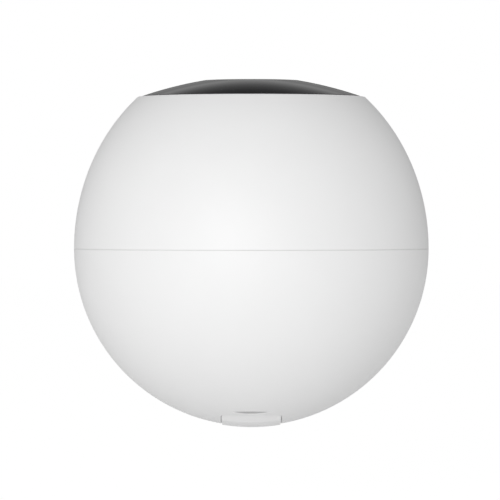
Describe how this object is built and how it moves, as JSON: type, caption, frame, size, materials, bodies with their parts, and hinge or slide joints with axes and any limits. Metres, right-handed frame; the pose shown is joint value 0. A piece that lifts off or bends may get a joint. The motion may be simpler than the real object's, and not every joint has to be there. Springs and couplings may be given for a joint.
{
  "type": "indoor security camera",
  "caption": "Ball-shaped battery security camera with a black lens face, a hinged port cover and a tripod thread.",
  "frame": {"origin": "centre of the ball, on the seam between its two shells", "axes": "+Z along the lens axis, out of the black face; -Y towards the finger scoop of the port cover"},
  "size_m": [0.08, 0.08, 0.0782],
  "materials": {
    "white_plastic": "fine-grained matt white moulding",
    "port_rubber": "white soft rubber, a shade lighter than the shell",
    "black_face": "black glossy plastic that lets infrared light through",
    "window_glass": "flat tinted glass",
    "lens_glass": "coated lens glass",
    "day_glass": "blue-green filter glass",
    "night_glass": "clear filter glass",
    "black_plastic": "matt black moulding",
    "grey_plastic": "grey engineering plastic",
    "ivory_plastic": "ivory connector plastic",
    "board_green": "green solder mask",
    "board_black": "black solder mask",
    "chip_black": "moulded chip package",
    "bare_aluminium": "fine milled aluminium",
    "shield_tin": "tin-plated steel sheet",
    "screw_steel": "zinc-plated steel",
    "magnet_steel": "nickel-plated magnet",
    "nickel": "bright nickel",
    "thread_brass": "turned brass",
    "coil_copper": "enamelled copper winding",
    "cell_wrap": "blue shrink sleeve",
    "seal_rubber": "black silicone and foam",
    "thermal_grey": "soft grey thermal pad",
    "ribbon_film": "white ribbon film",
    "lead_red": "insulated lead",
    "led_clear": "clear dome on a pale package",
    "cone_paper": "pressed speaker cone"
  },
  "bodies": {
    "camera": {"antenna": "board_green", "battery_cells": "cell_wrap", "battery_contacts": "nickel", "battery_cradle": "grey_plastic", "battery_leads": "lead_red", "board_connectors": "ivory_plastic", "board_screws": "screw_steel", "board_spacers": "ivory_plastic", "face_cover": "black_face", "face_gasket": "seal_rubber", "filter_coil": "coil_copper", "filter_motor": "black_plastic", "frame_screws": "screw_steel", "front_shell": "white_plastic", "front_tower": "black_plastic", "heat_spreader": "bare_aluminium", "image_sensor": "lens_glass", "infrared_leds": "led_clear", "inner_frame": "grey_plastic", "lens_barrel": "black_plastic", "lens_elements": "lens_glass", "lens_holder": "black_plastic", "lens_window": "window_glass", "light_pipe": "night_glass", "light_sensor": "chip_black", "light_shield": "seal_rubber", "main_board": "board_green", "medium_screws": "screw_steel", "memory_chips": "chip_black", "microphone": "shield_tin", "microphone_boot": "seal_rubber", "mount_insert": "thread_brass", "port_board": "board_green", "port_cover_pin": "screw_steel", "port_ribbon": "ribbon_film", "processor": "chip_black", "radio_shield": "shield_tin", "rear_shell": "white_plastic", "ring_board": "board_black", "ring_ribbon": "ribbon_film", "rotor_shaft": "screw_steel", "sensor_board": "board_green", "setup_switch": "chip_black", "shell_seal": "seal_rubber", "small_screws": "screw_steel", "socket_shell": "nickel", "socket_tongue": "black_plastic", "speaker_cone": "cone_paper", "speaker_frame": "black_plastic", "speaker_gasket": "seal_rubber", "speaker_magnet": "magnet_steel", "status_led": "led_clear", "thermal_pad": "thermal_grey"},
    "port_flap": {"port_cover": "port_rubber"},
    "button": {"setup_button": "grey_plastic", "switch_plunger": "ivory_plastic"},
    "filter_slide": {"filter_carriage": "black_plastic", "day_filter": "day_glass", "night_filter": "night_glass"},
    "filter_magnet": {"filter_rotor": "magnet_steel"}
  },
  "joints": [
    {"name": "port_cover_hinge", "type": "hinge", "parent": "camera", "child": "port_flap", "pos_m": [0, 0.0095, -0.0369], "axis": [1, 0, 0], "range_deg": [0, 90]},
    {"name": "setup_button_press", "type": "slide", "parent": "camera", "child": "button", "axis": [0, 0, 1], "range_m": [0, 0.0005], "stiffness_N_per_m": 3000, "springref_m": -0.0001},
    {"name": "filter_rotor_turn", "type": "hinge", "parent": "camera", "child": "filter_magnet", "pos_m": [0, -0.0115, 0.0138], "axis": [0, 0, 1], "range_deg": [0, 55.78]},
    {"name": "filter_carriage_slide", "type": "slide", "parent": "camera", "child": "filter_slide", "axis": [-1, 0, 0], "range_m": [0, 0.0058]}
  ],
  "couplings": [
    {"joint": "filter_carriage_slide", "follows": "filter_rotor_turn", "m_per_rad": 0.0059576}
  ]
}
